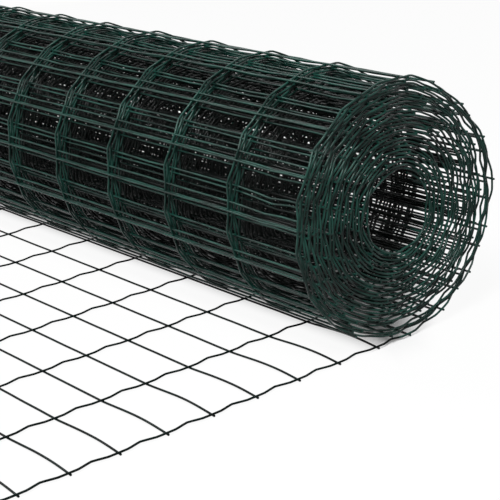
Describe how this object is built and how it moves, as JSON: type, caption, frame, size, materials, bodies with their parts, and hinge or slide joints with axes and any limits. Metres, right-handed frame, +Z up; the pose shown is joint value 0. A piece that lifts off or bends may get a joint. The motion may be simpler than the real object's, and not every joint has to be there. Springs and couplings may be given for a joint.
{
  "type": "roll of welded wire fencing",
  "caption": "Roll of coated welded wire fencing lying on its side, with an open bore and its free end paid out flat as a grid of straight cross wires and crimped line wires.",
  "frame": {"origin": "on the floor, at the centre of the footprint of the roll and its free end", "axes": "+X along the roll's axis, +Z up, and the free end lies on the floor towards -Y"},
  "size_m": [1.0066, 0.636, 0.26],
  "materials": {
    "wound_wire": "dark green plastic coating on steel wire, satin",
    "laid_wire": "dark green plastic coating on steel wire, satin"
  },
  "bodies": {
    "root": {"wound_roll": "wound_wire", "free_end": "laid_wire"}
  },
  "joints": []
}
